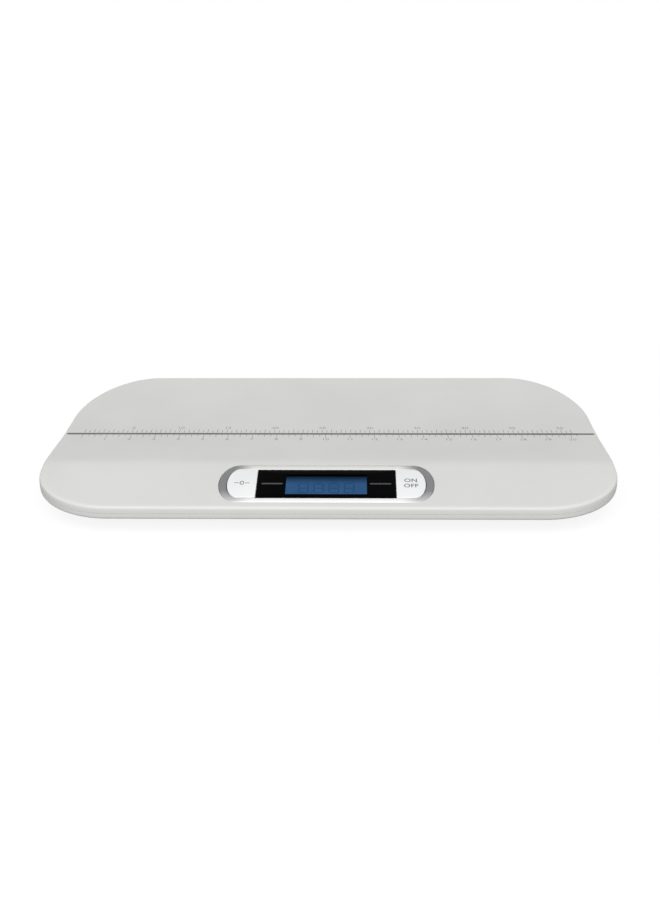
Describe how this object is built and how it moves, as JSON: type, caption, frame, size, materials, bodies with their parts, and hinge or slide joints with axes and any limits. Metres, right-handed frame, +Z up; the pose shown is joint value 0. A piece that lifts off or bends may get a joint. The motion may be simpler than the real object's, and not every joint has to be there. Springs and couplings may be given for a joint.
{
  "type": "animal weighing scale",
  "caption": "Low digital weighing scale for small animals: a wide shallow white tray with a measuring line and a sloped front that holds a pill-shaped display with press keys, on sprung feet.",
  "frame": {"origin": "on the surface it stands on, under the middle of the tray", "axes": "+X along the tray to the right of the person who reads the display, +Y from the display to the raised rear, +Z up"},
  "size_m": [0.56, 0.315, 0.055],
  "materials": {
    "case_white": "satin moulded ABS",
    "key_white": "satin moulded ABS",
    "ring_grey": "satin moulded ABS",
    "window_black": "polished acrylic, printed black behind",
    "screen_blue": "lit blue screen glass",
    "light_guide": "milky acrylic",
    "connector_rubber": "striped connector rubber",
    "board_green": "solder-masked board",
    "chip_black": "moulded black",
    "plated_steel": "zinc plated",
    "pad_rubber": "moulded rubber",
    "battery_can": "plain wrapped cell",
    "ruler_ink": "dark grey strip with ticks",
    "lead_white": "soft sleeve",
    "lead_black": "soft insulation",
    "lead_red": "soft insulation"
  },
  "bodies": {
    "case": {"top_cover": "case_white", "bottom_cover": "case_white", "ruler_strip": "ruler_ink", "display_bezel": "ring_grey", "display_window": "window_black", "display_carrier": "case_white", "lcd_panel": "screen_blue", "lcd_backlight": "light_guide", "lcd_connector_strip": "connector_rubber", "main_board": "board_green", "controller_chip": "chip_black", "left_switch_body": "chip_black", "right_switch_body": "chip_black", "front_left_load_cell": "plated_steel", "front_right_load_cell": "plated_steel", "rear_left_load_cell": "plated_steel", "rear_right_load_cell": "plated_steel", "front_left_cell_holder": "case_white", "front_right_cell_holder": "case_white", "rear_left_cell_holder": "case_white", "rear_right_cell_holder": "case_white", "front_left_cell_lead": "lead_white", "front_right_cell_lead": "lead_white", "rear_left_cell_lead": "lead_white", "rear_right_cell_lead": "lead_white", "battery_1": "battery_can", "battery_2": "battery_can", "battery_3": "battery_can", "battery_4": "battery_can", "battery_contact_front_left": "plated_steel", "battery_contact_front_middle": "plated_steel", "battery_contact_front_right": "plated_steel", "battery_contact_rear_left": "plated_steel", "battery_contact_rear_right": "plated_steel", "battery_lead_negative": "lead_black", "battery_lead_positive": "lead_red", "case_screw_1": "plated_steel", "case_screw_2": "plated_steel", "case_screw_3": "plated_steel", "case_screw_4": "plated_steel", "case_screw_5": "plated_steel", "case_screw_6": "plated_steel", "board_screw_1": "plated_steel", "board_screw_2": "plated_steel", "board_screw_3": "plated_steel", "board_screw_4": "plated_steel"},
    "left_key": {"left_button": "key_white", "left_switch_plunger": "ring_grey"},
    "right_key": {"right_button": "key_white", "right_switch_plunger": "ring_grey"},
    "front_left_foot_unit": {"front_left_foot": "case_white", "front_left_foot_pad": "pad_rubber"},
    "front_right_foot_unit": {"front_right_foot": "case_white", "front_right_foot_pad": "pad_rubber"},
    "rear_left_foot_unit": {"rear_left_foot": "case_white", "rear_left_foot_pad": "pad_rubber"},
    "rear_right_foot_unit": {"rear_right_foot": "case_white", "rear_right_foot_pad": "pad_rubber"},
    "door": {"battery_door": "case_white"}
  },
  "joints": [
    {"name": "left_key_press", "type": "slide", "parent": "case", "child": "left_key", "axis": [0, 0.2079, -0.9781], "range_m": [0, 0.001], "stiffness_N_per_m": 2000},
    {"name": "right_key_press", "type": "slide", "parent": "case", "child": "right_key", "axis": [0, 0.2079, -0.9781], "range_m": [0, 0.001], "stiffness_N_per_m": 2000},
    {"name": "front_left_foot_press", "type": "slide", "parent": "case", "child": "front_left_foot_unit", "axis": [0, 0, 1], "range_m": [0, 0.0005], "stiffness_N_per_m": 1500, "deforming": ["front_left_load_cell"]},
    {"name": "front_right_foot_press", "type": "slide", "parent": "case", "child": "front_right_foot_unit", "axis": [0, 0, 1], "range_m": [0, 0.0005], "stiffness_N_per_m": 1500, "deforming": ["front_right_load_cell"]},
    {"name": "rear_left_foot_press", "type": "slide", "parent": "case", "child": "rear_left_foot_unit", "axis": [0, 0, 1], "range_m": [0, 0.0005], "stiffness_N_per_m": 1500, "deforming": ["rear_left_load_cell"]},
    {"name": "rear_right_foot_press", "type": "slide", "parent": "case", "child": "rear_right_foot_unit", "axis": [0, 0, 1], "range_m": [0, 0.0005], "stiffness_N_per_m": 1500, "deforming": ["rear_right_load_cell"]},
    {"name": "battery_door_swing", "type": "hinge", "parent": "case", "child": "door", "pos_m": [0, 0.03395, 0.011], "axis": [-1, 0, 0], "range_deg": [0, 90]}
  ]
}
